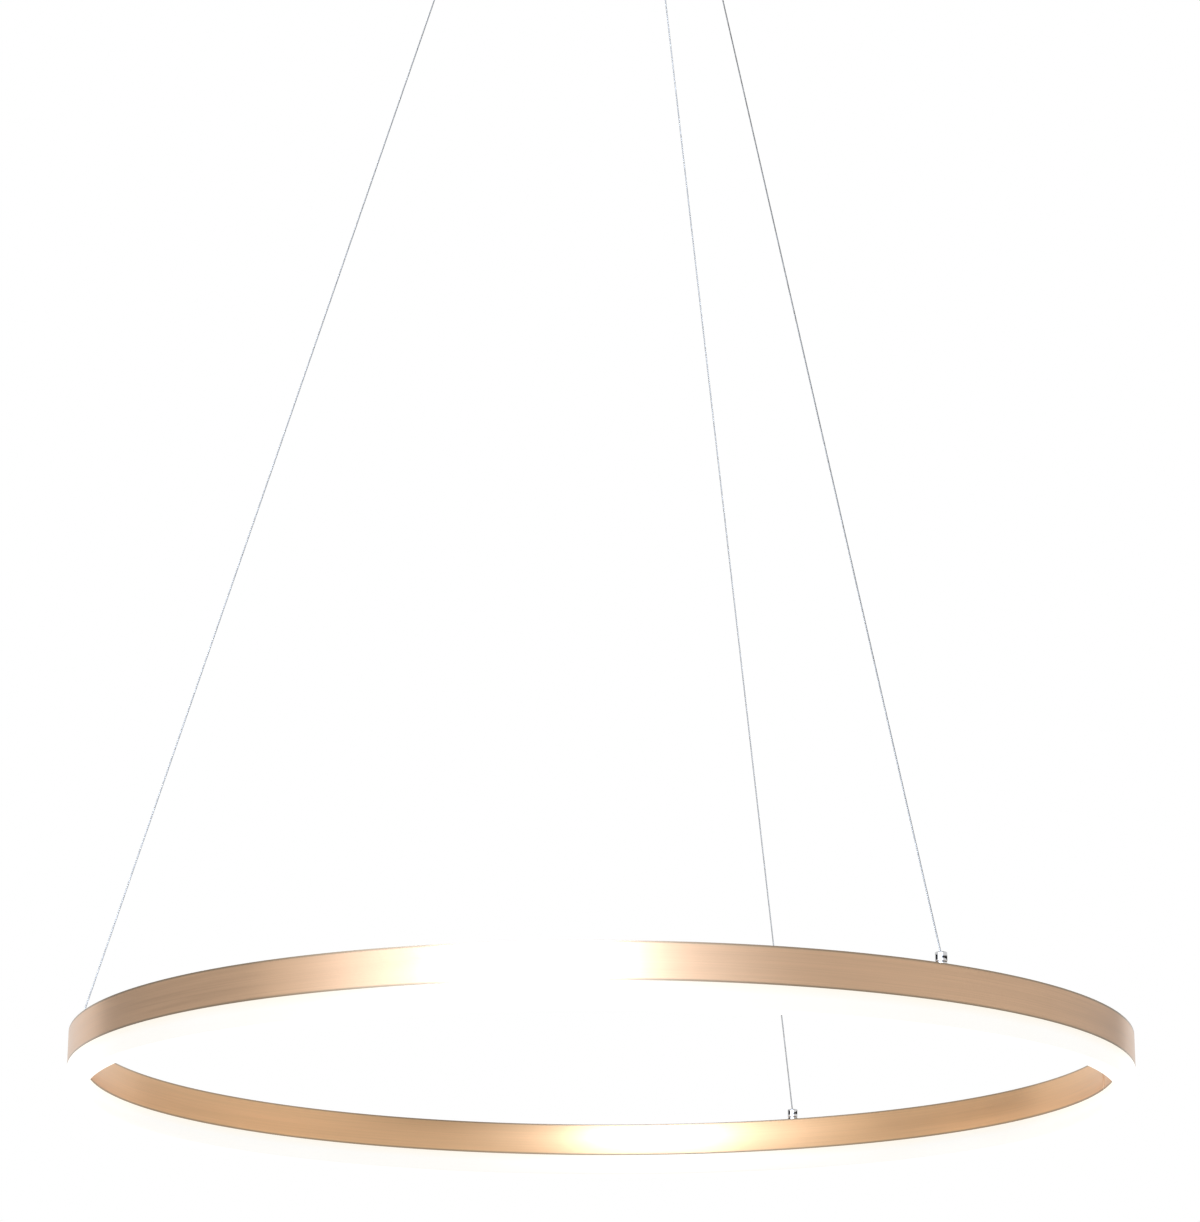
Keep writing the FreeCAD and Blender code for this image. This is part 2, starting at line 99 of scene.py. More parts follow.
class Nodes:
    """A node tree, with short calls to add nodes and to join them."""

    def __init__(self, tree: bpy.types.NodeTree) -> None:
        """Empty the tree.

        Args:
            tree: The tree of a material, a light or the world.
        """
        self.tree = tree
        self.tree.nodes.clear()

    def node(self, kind: str, *values: object, settings: dict[str, str] | None = None,
             **inputs: object) -> bpy.types.Node:
        """Add a node.

        Args:
            kind: The node's type, without the leading ShaderNode.
            values: Values or output sockets for its first sockets, in their order.
            settings: Properties of the node itself.
            inputs: Values or output sockets by socket name, with underscores for spaces.

        Returns:
            The new node.
        """
        made = self.tree.nodes.new(f"ShaderNode{kind}")
        for name, value in (settings or {}).items():
            setattr(made, name, value)
        for socket, value in zip(made.inputs, values):
            self.feed(socket, value)
        self.fill(made, inputs)
        return made

    def fill(self, node: bpy.types.Node, inputs: dict[str, object]) -> None:
        """Feed a node's sockets by their names, with underscores for spaces."""
        for name, value in inputs.items():
            self.feed(node.inputs[name.replace("_", " ")], value)

    def feed(self, socket: Socket, value: object) -> None:
        """Set a socket's value, or link an output to it.

        Args:
            socket: The input socket.
            value: A constant, or an output socket.
        """
        if isinstance(value, Socket):
            self.tree.links.new(value, socket)
        else:
            socket.default_value = value

    def math(self, operation: str, first: object, second: object = 0.0) -> Socket:
        """Join two numbers by an operation of the Math node."""
        return self.node("Math", first, second, settings={"operation": operation}).outputs[0]

    def white_rays(self) -> Socket:
        """One for the rays that see white surroundings: the camera's, in gloss and in glass.

        Returns:
            The result's output socket.
        """
        path = self.node("LightPath").outputs
        seen = self.math("MAXIMUM", path["Is Camera Ray"], path["Is Glossy Ray"])
        return self.math("MAXIMUM", seen, path["Is Transmission Ray"])


class Recipe(Nodes):
    """A material in the making, with its main shader."""

    def __init__(self, name: str) -> None:
        """Start a plain material.

        Args:
            name: The material's name.
        """
        self.material = bpy.data.materials.new(name)
        self.material.use_nodes = True
        super().__init__(self.material.node_tree)
        self.output = self.node("OutputMaterial")
        self.surface = self.node("BsdfPrincipled")
        self.feed(self.output.inputs["Surface"], self.surface.outputs["BSDF"])

    def shade(self, **inputs: object) -> None:
        """Feed the main shader's sockets."""
        self.fill(self.surface, inputs)

    def place(self, scale: Triple = (1.0, 1.0, 1.0)) -> Socket:
        """Object coordinates, scaled."""
        return self.scaled(self.node("TexCoord").outputs["Object"], scale)

    def scaled(self, vector: Socket, scale: Triple) -> Socket:
        """A vector, scaled along X, Y and Z."""
        return self.node("Mapping", Vector=vector, Scale=scale).outputs["Vector"]

    def noise(self, vector: Socket, scale: float = 1.0, detail: float = 2.0) -> Socket:
        """Noise between 0 and 1, which mostly keeps between 0.3 and 0.7."""
        return self.node("TexNoise", Vector=vector, Scale=scale, Detail=detail).outputs["Fac"]

    def span(self, value: Socket, low: float, high: float, start: float = 0.3,
             end: float = 0.7) -> Socket:
        """Map a value from the range between start and end to the one between low and high.

        Args:
            value: The value's output.
            low: The result at the range's start, and before it.
            high: The result at the range's end, and past it.
            start: Where the range starts. The usual range is that of noise.
            end: Where the range ends.

        Returns:
            The result's output socket.
        """
        return self.node("MapRange", Value=value, From_Min=start, From_Max=end, To_Min=low,
                         To_Max=high).outputs["Result"]

    def weigh(self, first: Socket, second: Socket, share: float) -> Socket:
        """The mean of two values, in which the first has this share."""
        return self.math("ADD", self.math("MULTIPLY", first, share),
                         self.math("MULTIPLY", second, 1.0 - share))

    def blend(self, share: object, first: object, second: object, mode: str = "MIX") -> Socket:
        """Mix two colours.

        Args:
            share: How much of the second colour shows.
            first: The first colour or output.
            second: The second colour or output.
            mode: How the second colour goes on the first.

        Returns:
            The colour's output socket.
        """
        made = self.node("Mix", settings={"data_type": "RGBA", "blend_type": mode})
        for number, value in ((0, share), (6, first), (7, second)):
            self.feed(made.inputs[number], value)
        return made.outputs[2]

    def bump(self, height: Socket, depth: float) -> None:
        """Give the surface fine relief of a depth in metres, at half its strength."""
        made = self.node("Bump", Height=height, Distance=depth, Strength=0.5)
        self.shade(Normal=made.outputs["Normal"])


@dataclass(frozen=True)
class BrushedChampagne:
    """Anodised aluminium, brushed along the ring, with painted shade lines along its long edges and a painted
    reflection of the ring's glow: the inner face warm, the rest cooler.
    """

    name: str = "brushed_champagne"
    colour: Colour = tint(0.81, 0.51, 0.285)
    streak: Colour = tint(0.69, 0.435, 0.245)
    # Painted reflection: every face but the inner one is multiplied by this cooler tint, so the inner face
    # shows the ring's glow as colour.
    outer: Colour = tint(0.92, 0.97, 1.12)
    # Colour of the painted shade lines along the long edges.
    edge: Colour = tint(0.29, 0.235, 0.17)
    roughness: float = 0.36
    variation: float = 0.06
    brushing: float = 0.75
    low: float = BAND_LOW
    high: float = BAND_HIGH
    inside: float = RING_RADIUS - BAND_WIDTH
    outside: float = RING_RADIUS
    painted_glow_fade: tuple[float, float] = (0.5 * MM, 2 * MM)
    edge_shade_width: float = 1.7 * MM
    edge_shade_strength: float = 0.85
    fine: Triple = (5.0, 5.0, 5200.0)
    long: Triple = (11.0, 11.0, 1100.0)
    cloud: Triple = (3.0, 3.0, 60.0)
    relief: float = 0.012 * MM

    def make(self) -> bpy.types.Material:
        """Build the material.

        Returns:
            The material.
        """
        recipe = Recipe(self.name)
        place = recipe.place()
        east, north, height = recipe.node("SeparateXYZ", place).outputs
        flat = recipe.node("CombineXYZ", east, north).outputs["Vector"]
        radius = recipe.node("VectorMath", flat, settings={"operation": "LENGTH"}).outputs["Value"]
        across = recipe.math("ADD", height, radius)
        along = recipe.node("CombineXYZ", east, north, across).outputs["Vector"]
        grain = recipe.weigh(recipe.noise(recipe.scaled(along, self.fine), detail=3.0),
                             recipe.noise(recipe.scaled(along, self.long)), 0.55)
        mixed = recipe.weigh(grain, recipe.noise(recipe.scaled(along, self.cloud)), 0.6)
        metal = recipe.blend(recipe.span(mixed, 0.0, 1.0, 0.38, 0.62), self.streak, self.colour)
        # Painted reflection: the inner face keeps the warmer colour, as if lit by the ring's glow; the rest is
        # cooled.
        painted_inner_glow = recipe.span(radius, 1.0, 0.0, *(self.inside + skin for skin in self.painted_glow_fade))
        metal = recipe.blend(painted_inner_glow, recipe.blend(1.0, metal, self.outer, "MULTIPLY"), metal)
        depth = recipe.math("MAXIMUM", self.depth(recipe, height, self.low, self.high),
                            self.depth(recipe, radius, self.inside, self.outside))
        # Painted shade lines: the colour darkens towards the edge colour the nearer it lies to an edge of the
        # section.
        line = recipe.span(depth, self.edge_shade_strength, 0.0, 0.4 * self.edge_shade_width, self.edge_shade_width)
        around = recipe.node("VectorMath", UP, place, settings={"operation": "CROSS_PRODUCT"})
        recipe.shade(Base_Color=recipe.blend(line, metal, self.edge), Metallic=1.0,
                     Roughness=recipe.span(grain, self.roughness - self.variation,
                                           self.roughness + self.variation),
                     Anisotropic=self.brushing, Anisotropic_Rotation=0.25,
                     Tangent=around.outputs["Vector"])
        recipe.bump(grain, self.relief)
        return recipe.material

    @staticmethod
    def depth(recipe: Recipe, value: Socket, low: float, high: float) -> Socket:
        """How far a height or a radius lies from the nearer of its two limits."""
        away = recipe.math("ABSOLUTE", recipe.math("SUBTRACT", value, (low + high) / 2))
        return recipe.math("SUBTRACT", (high - low) / 2, away)


@dataclass(frozen=True)
class PolishedMetal:
    """A turned and polished or plated metal, with faint marks of the lathe."""

    name: str
    colour: Colour
    roughness: float
    turning: float = 1600.0
    around: float = 40.0
    wear: float = 260.0
    relief: float = 0.004 * MM

    def make(self) -> bpy.types.Material:
        """Build the material.

        Returns:
            The material.
        """
        recipe = Recipe(self.name)
        marks = recipe.noise(recipe.place((self.around, self.around, self.turning)))
        worn = recipe.span(recipe.noise(recipe.place(), self.wear, 4.0), 0.0, 0.6, 0.55, 0.8)
        recipe.shade(Base_Color=recipe.blend(worn, self.colour, dimmed(self.colour, 0.86)),
                     Metallic=1.0,
                     Roughness=recipe.span(marks, self.roughness * 0.7, self.roughness * 1.4))
        recipe.bump(marks, self.relief)
        return recipe.material


@dataclass(frozen=True)
class ZincSheet:
    """Zinc-plated steel sheet with its cloudy crystals."""

    name: str = "zinc_sheet"
    light: Colour = tint(0.56, 0.57, 0.58)
    dark: Colour = tint(0.40, 0.41, 0.43)
    cell: float = 320.0
    cloud: float = 90.0

    def make(self) -> bpy.types.Material:
        """Build the material.

        Returns:
            The material.
        """
        recipe = Recipe(self.name)
        place = recipe.place()
        crystal = recipe.node("TexVoronoi", Vector=place, Scale=self.cell).outputs["Distance"]
        cloud = recipe.noise(place, self.cloud, 3.0)
        share = recipe.math("MULTIPLY", recipe.span(crystal, 0.2, 1.0, 0.0, 0.8), cloud)
        recipe.shade(Base_Color=recipe.blend(share, self.dark, self.light), Metallic=1.0,
                     Roughness=recipe.span(cloud, 0.32, 0.5))
        return recipe.material


@dataclass(frozen=True)
class MouldedPlastic:
    """Matt moulded plastic or rubber with a fine spark-eroded grain."""

    name: str
    colour: Colour
    roughness: float = 0.55
    grain: float = 900.0
    cloud: float = 25.0
    variation: float = 0.06
    relief: float = 0.02 * MM

    def make(self) -> bpy.types.Material:
        """Build the material.

        Returns:
            The material.
        """
        recipe = Recipe(self.name)
        place = recipe.place()
        pitted = recipe.noise(place, self.grain)
        share = recipe.span(recipe.noise(place, self.cloud), 0.0, 0.5, 0.4, 0.7)
        recipe.shade(Base_Color=recipe.blend(share, self.colour, dimmed(self.colour, 0.9)),
                     Roughness=recipe.span(pitted, self.roughness - self.variation,
                                           self.roughness + self.variation))
        recipe.bump(pitted, self.relief)
        return recipe.material


@dataclass(frozen=True)
class LuminousOpal:
    """Opal acrylic lit from inside, with painted warm shade in its glow where it meets the band."""

    name: str = "luminous_opal"
    body: Colour = tint(0.14, 0.14, 0.135)
    heart: Colour = tint(1.0, 0.99, 0.965)
    warm_cloud_and_painted_shade: Colour = tint(1.0, 0.90, 0.74)
    roughness: float = 0.32
    glow: float = 0.86
    high: float = BAND_LOW
    band_shade_reach: float = 7 * MM
    cloud: float = 14.0

    def make(self) -> bpy.types.Material:
        """Build the material.

        Returns:
            The material.
        """
        recipe = Recipe(self.name)
        place = recipe.place()
        height = recipe.node("SeparateXYZ", place).outputs["Z"]
        # Painted shade: the glow turns warmer and dimmer over the last few millimetres below the band; the
        # cloud adds random warm patches.
        painted_band_shade = recipe.span(height, 0.0, 1.0, self.high - self.band_shade_reach, self.high)
        cloud = recipe.span(recipe.noise(place, self.cloud), 0.0, 0.12)
        share = recipe.math("ADD", recipe.math("MULTIPLY", painted_band_shade, 0.6), cloud)
        recipe.shade(Base_Color=self.body, Roughness=self.roughness,
                     Emission_Color=recipe.blend(share, self.heart, self.warm_cloud_and_painted_shade),
                     Emission_Strength=self.glow)
        return recipe.material


@dataclass(frozen=True)
class GlowingPhosphor:
    """Yellow phosphor in clear silicone, lit by the chips below it."""

    name: str = "glowing_phosphor"
    colour: Colour = tint(0.86, 0.58, 0.12)
    lit: Colour = tint(1.0, 0.85, 0.5)
    roughness: float = 0.25
    grain: float = 700.0
    glow: float = 0.8

    def make(self) -> bpy.types.Material:
        """Build the material.

        Returns:
            The material.
        """
        recipe = Recipe(self.name)
        share = recipe.span(recipe.noise(recipe.place(), self.grain), 0.0, 0.4)
        recipe.shade(Base_Color=self.colour, Roughness=self.roughness,
                     Emission_Color=recipe.blend(share, self.colour, self.lit),
                     Emission_Strength=self.glow)
        return recipe.material


class Finishes:
    """Every finish of the lamp, made once."""

    def __init__(self) -> None:
        """Make the materials."""
        self.champagne = BrushedChampagne().make()
        # The cup gets the same painted shade lines, narrower, near its rim and its lower and upper levels.
        self.canopy = BrushedChampagne(name="brushed_canopy", low=-CANOPY_DEPTH, high=0.0,
                                       inside=-CANOPY_RADIUS, outside=CANOPY_RADIUS,
                                       edge_shade_width=0.5 * MM).make()
        self.chrome = PolishedMetal("polished_chrome", tint(0.58, 0.58, 0.59), 0.08).make()
        self.satin_steel = PolishedMetal("satin_steel", tint(0.60, 0.60, 0.60), 0.24).make()
        self.wire = PolishedMetal("drawn_wire", tint(0.40, 0.40, 0.40), 0.42, 300.0).make()
        self.brass = PolishedMetal("turned_brass", tint(0.62, 0.43, 0.16), 0.22).make()
        self.zinc = ZincSheet().make()
        self.opal = LuminousOpal().make()
        self.phosphor = GlowingPhosphor().make()
        self.plastic = MouldedPlastic("white_moulding", tint(0.78, 0.78, 0.76)).make()
        self.board = MouldedPlastic("white_solder_mask", tint(0.83, 0.85, 0.84), 0.35, 400.0).make()
        self.foam = MouldedPlastic("grey_foam", tint(0.11, 0.11, 0.115), 0.9, 1500.0).make()


def soften(mesh: Mesh, edges: list[bmesh.types.BMEdge], radius: float, segments: int = 3) -> None:
    """Round edges.

    Args:
        mesh: The mesh.
        edges: The edges.
        radius: How far the rounding reaches from them.
        segments: The rounding's steps.
    """
    bmesh.ops.bevel(mesh, geom=edges, offset=radius, offset_type="OFFSET", segments=segments,
                    profile=0.5, affect="EDGES", clamp_overlap=True, material=-1)


@dataclass(frozen=True)
class Corner:
    """One corner of a turned section, and how far its edge is rounded."""

    radius: float
    height: float
    bevel: float = 0.0

    def meets(self, vertex: bmesh.types.BMVert) -> bool:
        """Whether a vertex lies on the circle that this corner makes."""
        away = math.hypot(vertex.co.x, vertex.co.y) - self.radius
        return abs(vertex.co.z - self.height) < NEAR and abs(away) < NEAR


def turned(corners: list[Corner], steps: int, closed: bool = True) -> Mesh:
    """Turn a piece from its section, as on a lathe, and round its edges.

    Args:
        corners: The section's corners, in metres from the axis and above the origin.
        steps: How many sides the full turn has.
        closed: Whether the last corner joins the first, as it does round a bore.

    Returns:
        The turned mesh.
    """
    mesh = bmesh.new()
    points = [mesh.verts.new((corner.radius, 0.0, corner.height)) for corner in corners]
    ends = points[1:] + ([points[0]] if closed else [])
    edges = [mesh.edges.new(pair) for pair in zip(points, ends)]
    bmesh.ops.spin(mesh, geom=points + edges, cent=(0, 0, 0), axis=UP, dvec=(0, 0, 0),
                   angle=FULL_TURN, steps=steps, use_merge=True, use_duplicate=False)
    bmesh.ops.remove_doubles(mesh, verts=mesh.verts, dist=SAME)
    bmesh.ops.recalc_face_normals(mesh, faces=mesh.faces)
    for corner in corners:
        if corner.bevel:
            circle = [edge for edge in mesh.edges if all(map(corner.meets, edge.verts))]
            soften(mesh, circle, corner.bevel)
    return mesh


def gather(meshes: list[Mesh], places: list[Matrix] | None = None) -> Mesh:
    """Put meshes into one, each of them at every place.

    Args:
        meshes: The meshes, which are freed.
        places: Where the copies go. Without it, each mesh stays where it is.

    Returns:
        One mesh with all the copies.
    """
    together = bmesh.new()
    for mesh in meshes:
        single = bpy.data.meshes.new("single")
        mesh.to_mesh(single)
        mesh.free()
        for place in places or [Matrix()]:
            before = len(together.verts)
            together.from_mesh(single)
            together.verts.ensure_lookup_table()
            bmesh.ops.transform(together, matrix=place, verts=together.verts[before:])
        bpy.data.meshes.remove(single)
    return together


def placed(mesh: Mesh, name: str, material: bpy.types.Material) -> bpy.types.Object:
    """Put a mesh into the scene.

    Args:
        mesh: The mesh in the lamp's frame, which is freed.
        name: The object's name.
        material: Its finish.

    Returns:
        The new object.
    """
    data = bpy.data.meshes.new(name)
    mesh.to_mesh(data)
    mesh.free()
    data.materials.append(material)
    made = bpy.data.objects.new(name, data)
    bpy.context.scene.collection.objects.link(made)
    return made


def piece(mesh: Mesh, name: str, material: bpy.types.Material, body: Body,
          replaced: tuple[str, ...] = (), smooth_angle: float = 35.0) -> bpy.types.Object:
    """Finish a mesh as a piece of the lamp.

    Args:
        mesh: The piece's mesh in the lamp's frame, which is freed.
        name: The piece's name.
        material: Its finish.
        body: The body it rides on.
        replaced: The solids it stands for.
        smooth_angle: Edges sharper than this many degrees stay sharp.

    Returns:
        The new object.
    """
    made = placed(mesh, name, material)
    made.data.shade_smooth()
    made.data.set_sharp_from_angle(angle=math.radians(smooth_angle))
    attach(made, body.value)
    if replaced:
        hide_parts(*replaced)
    LOG.info("made %s with %d faces on %s", name, len(made.data.polygons), body.value)
    return made


def dress(nodes: tuple[str, ...], material: bpy.types.Material) -> None:
    """Give solids that stay a finer material.

    Args:
        nodes: The solids' names.
        material: Their finish.
    """
    for name in nodes:
        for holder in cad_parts[name].material_slots:
            holder.link = "OBJECT"
            holder.material = material
        LOG.info("dressed %s in %s", name, material.name)


def turned_place(radius: float, level: float, degrees: float) -> Matrix:
    """A place at a distance from the lamp's axis.

    Args:
        radius: The distance from the axis.
        level: The height.
        degrees: The direction, counter-clockwise from +X.

    Returns:
        The place, turned so that its X axis points outwards.
    """
    angle = math.radians(degrees)
    there = Vector((radius * math.cos(angle), radius * math.sin(angle), level))
    return Matrix.Translation(there) @ Matrix.Rotation(angle, 4, "Z")


@dataclass(frozen=True)
class Layout:
    """Places that the canopy, the wires and the ring share."""

    directions: Triple = (-60.0, 60.0, 180.0)
    attach_radius: float = 393 * MM
    gripper_radius: float = 70 * MM
    canopy_floor: float = -CANOPY_DEPTH
    nose_level: float = -56 * MM
    stud_height: float = 6.7 * MM
    band_low: float = BAND_LOW
    band_high: float = BAND_HIGH
    gland_height: float = 9 * MM
    gland_neck: float = 1.5 * MM
    travel: float = 0.5

    @property
    def stop_level(self) -> float:
        """The upper face of the stops that hold the wires."""
        return self.band_high + self.gland_height - self.gland_neck

    def spots(self, radius: float, level: float) -> list[Matrix]:
        """The three wires' places at a distance from the axis and a height."""
        return [turned_place(radius, level, degrees) for degrees in self.directions]


@dataclass
class Ring:
    """The luminous ring: band, diffuser, boards and glands."""

    finishes: Finishes
    layout: Layout
    outside: float = RING_RADIUS
    width: float = BAND_WIDTH
    wall: float = 1.6 * MM
    web: float = 2 * MM
    edge: float = 0.5 * MM
    drop: float = 17 * MM
    seat: float = 0.1 * MM
    tongue: float = 7 * MM
    play: float = 0.15 * MM
    soft_edge: float = 1.6 * MM
    steps: int = 360
    gland_radius: float = 4.2 * MM
    gland_mouth: float = 1.5 * MM
    gland_bore: float = 1.9 * MM
    gland_below: float = 3 * MM
    gland_steps: int = 64
    waist_depth: float = 0.35 * MM
    waist_levels: tuple[float, ...] = (1.6 * MM, 1.9 * MM, 2.3 * MM, 2.6 * MM)
    waist_edge: float = 0.15 * MM
    foot_edge: float = 0.2 * MM
    top_edge: float = 0.7 * MM
    mouth_edge: float = 0.25 * MM

    def build(self) -> None:
        """Build and dress the ring."""
        self.build_band()
        self.build_diffuser()
        self.build_glands()
        dress(("led_boards",), self.finishes.board)
        dress(("led_emitters",), self.finishes.phosphor)
        dress(("wire_stops",), self.finishes.brass)

    def build_band(self) -> None:
        """Build the rolled channel with its broken edges."""
        low, high = self.layout.band_low, self.layout.band_high
        outer, inner = self.outside, self.outside - self.width
        web = high - self.web
        corners = [
            Corner(inner, high, self.edge),
            Corner(outer, high, self.edge),
            Corner(outer, low, self.edge),
            Corner(outer - self.wall, low, 0.2 * self.edge),
            Corner(outer - self.wall, web),
            Corner(inner + self.wall, web),
            Corner(inner + self.wall, low, 0.2 * self.edge),
            Corner(inner, low, self.edge),
        ]
        piece(turned(corners, self.steps), "band", self.finishes.champagne, Body.RING,
              ("ring_profile",))

    def build_diffuser(self) -> None:
        """Build the opal ring with its rounded lower edges."""
        band = self.layout.band_low
        low, shoulder, high = band - self.drop, band - self.seat, band + self.tongue
        outer, inner = self.outside, self.outside - self.width
        tongue_out = outer - self.wall - self.play
        tongue_in = inner + self.wall + self.play
        corners = [
            Corner(outer, low, self.soft_edge),
            Corner(outer, shoulder, 0.15 * self.soft_edge),
            Corner(tongue_out, shoulder),
            Corner(tongue_out, high),
            Corner(tongue_in, high),
            Corner(tongue_in, shoulder),
            Corner(inner, shoulder, 0.15 * self.soft_edge),
            Corner(inner, low, self.soft_edge),
        ]
        piece(turned(corners, self.steps), "opal_ring", self.finishes.opal, Body.RING,
              ("diffuser",))

    def build_glands(self) -> None:
        """Build the three chrome glands, with a waist and broken edges."""
        top = self.layout.gland_height
        neck = top - self.layout.gland_neck
        waist = self.gland_radius - self.waist_depth
        foot, waist_low, waist_high, shoulder = self.waist_levels
        corners = [
            Corner(self.gland_bore, -self.gland_below),
            Corner(self.gland_radius, -self.gland_below, self.foot_edge),
            Corner(self.gland_radius, foot, self.waist_edge),
            Corner(waist, waist_low),
            Corner(waist, waist_high),
            Corner(self.gland_radius, shoulder, self.waist_edge),
            Corner(self.gland_radius, top, self.top_edge),
            Corner(self.gland_mouth, top, self.mouth_edge),
            Corner(self.gland_mouth, neck),
            Corner(self.gland_bore, neck),
        ]
        places = self.layout.spots(self.layout.attach_radius, self.layout.band_high)
        piece(gather([turned(corners, self.gland_steps)], places), "glands", self.finishes.chrome,
              Body.RING, ("ring_glands",))


@dataclass
class Canopy:
    """The ceiling fitting: cup, bracket, screws, grippers, driver and terminals."""

    finishes: Finishes
    layout: Layout
    radius: float = CANOPY_RADIUS
    depth: float = CANOPY_DEPTH
    sheet: float = 1.2 * MM
    rounding: float = 2.2 * MM
    steps: int = 192
    edge: float = 0.3 * MM
    fine_edge: float = 0.2 * MM
    barrel_radius: float = 6 * MM
    barrel_length: float = 20 * MM
    barrel_tip: float = 1.2 * MM
    groove_low: float = 3.2 * MM
    groove_high: float = -3.8 * MM
    groove_depth: float = 0.3 * MM
    groove_rises: tuple[float, ...] = (0.0, 0.2 * MM, 0.5 * MM, 0.7 * MM)
    stud_radius: float = 4 * MM
    bore: float = 1.96 * MM
    thread_pitch: float = 1 * MM
    thread_depth: float = 0.35 * MM
    fine_steps: int = 64
    nose_radius: float = 1.9 * MM
    sleeve_bore: float = 0.66 * MM
    sleeve_length: float = 16 * MM
    sleeve_mouth: float = 0.15 * MM
    sleeve_edge: float = 0.4 * MM
    head_radius: float = 4.5 * MM
    head_height: float = 5 * MM
    screw_radius: float = 2 * MM
    screw_reach: float = 6 * MM
    screw_level: float = -8 * MM
    screw_steps: int = 32
    knurls: int = 36
    knurl_depth: float = 0.35 * MM

    def build(self) -> None:
        """Build and dress the ceiling fitting."""
        self.build_cup()
        self.build_grippers()
        self.build_sleeves()
        self.build_thumb_screws()
        dress(("ceiling_bracket", "gripper_nuts"), self.finishes.zinc)
        dress(("terminal_block",), self.finishes.plastic)
        dress(("driver_tape",), self.finishes.foam)

    def build_cup(self) -> None:
        """Build the pressed cup with its rounded lower edge."""
        low = -self.depth
        floor = low + self.sheet
        wall = self.radius - self.sheet
        corners = [
            Corner(0.0, low),
            Corner(self.radius, low, self.rounding),
            Corner(self.radius, 0.0, self.edge),
            Corner(wall, 0.0, self.edge),
            Corner(wall, floor, self.rounding - self.sheet),
            Corner(0.0, floor),
        ]
        piece(turned(corners, self.steps, closed=False), "canopy", self.finishes.canopy,
              Body.CANOPY, ("canopy_cup",))

    def build_grippers(self) -> None:
        """Build the barrels with their grooves and threaded studs."""
        barrel, stud, top = self.barrel_radius, self.stud_radius, self.layout.stud_height
        insets = (0.0, self.groove_depth, self.groove_depth, 0.0)
        corners = [
            Corner(self.bore, -self.barrel_length, self.fine_edge),
            Corner(barrel - self.barrel_tip, -self.barrel_length, self.edge),
            Corner(barrel, -self.barrel_length + self.barrel_tip, self.edge),
        ]
        for level in (-self.barrel_length + self.groove_low, self.groove_high):
            corners += [Corner(barrel - inset, level + rise)
                        for inset, rise in zip(insets, self.groove_rises)]
        corners += [Corner(barrel, 0.0, self.fine_edge), Corner(stud, 0.0)]
        for ridge in range(int((top - self.sheet) / self.thread_pitch)):
            level = self.sheet + ridge * self.thread_pitch
            corners += [
                Corner(stud, level + 0.1 * self.thread_pitch),
                Corner(stud - self.thread_depth, level + 0.5 * self.thread_pitch),
                Corner(stud, level + 0.9 * self.thread_pitch),
            ]
        corners += [Corner(stud, top, self.edge), Corner(self.bore, top)]
        places = self.layout.spots(self.layout.gripper_radius, self.layout.canopy_floor)
        piece(gather([turned(corners, self.fine_steps)], places), "grippers", self.finishes.chrome,
              Body.CANOPY, ("gripper_bodies",))

    def build_sleeves(self) -> None:
        """Build the release sleeves, each on its own body."""
        corners = [
            Corner(self.sleeve_bore, 0.0, self.sleeve_mouth),
            Corner(self.nose_radius, 0.0, self.sleeve_edge),
            Corner(self.nose_radius, self.sleeve_length),
            Corner(self.sleeve_bore, self.sleeve_length),
        ]
        places = self.layout.spots(self.layout.gripper_radius, self.layout.nose_level)
        bodies = (Body.RELEASE_1, Body.RELEASE_2, Body.RELEASE_3)
        for number, (body, place) in enumerate(zip(bodies, places), 1):
            piece(gather([turned(corners, self.fine_steps)], [place]), f"sleeve_{number}",
                  self.finishes.satin_steel, body, (f"release_sleeve_{number}",))

    def build_thumb_screws(self) -> None:
        """Build the knurled thumb screws on the cup's sides."""
        mesh = bmesh.new()
        bmesh.ops.create_circle(mesh, cap_ends=True, segments=2 * self.knurls,
                                radius=self.head_radius)
        for valley in list(mesh.verts)[::2]:
            valley.co *= 1 - self.knurl_depth / self.head_radius
        raised = bmesh.ops.extrude_face_region(mesh, geom=list(mesh.faces))["geom"]
        top = [part for part in raised if isinstance(part, bmesh.types.BMVert)]
        bmesh.ops.translate(mesh, verts=top, vec=(0, 0, self.head_height))
        rims = [edge for edge in mesh.edges
                if abs(edge.verts[0].co.z - edge.verts[1].co.z) < SAME]
        soften(mesh, rims, self.edge, segments=2)
        bmesh.ops.create_cone(mesh, cap_ends=True, segments=self.screw_steps,
                              radius1=self.screw_radius, radius2=self.screw_radius,
                              depth=self.screw_reach,
                              matrix=Matrix.Translation((0, 0, -self.screw_reach / 2)))
        bmesh.ops.recalc_face_normals(mesh, faces=mesh.faces)
        lying = Matrix.Rotation(math.radians(90), 4, "Y")
        places = [turned_place(self.radius, self.screw_level, side) @ lying
                  for side in (90.0, -90.0)]
        piece(gather([mesh], places), "thumb_screws", self.finishes.chrome, Body.CANOPY,
              ("canopy_screws",), smooth_angle=20.0)


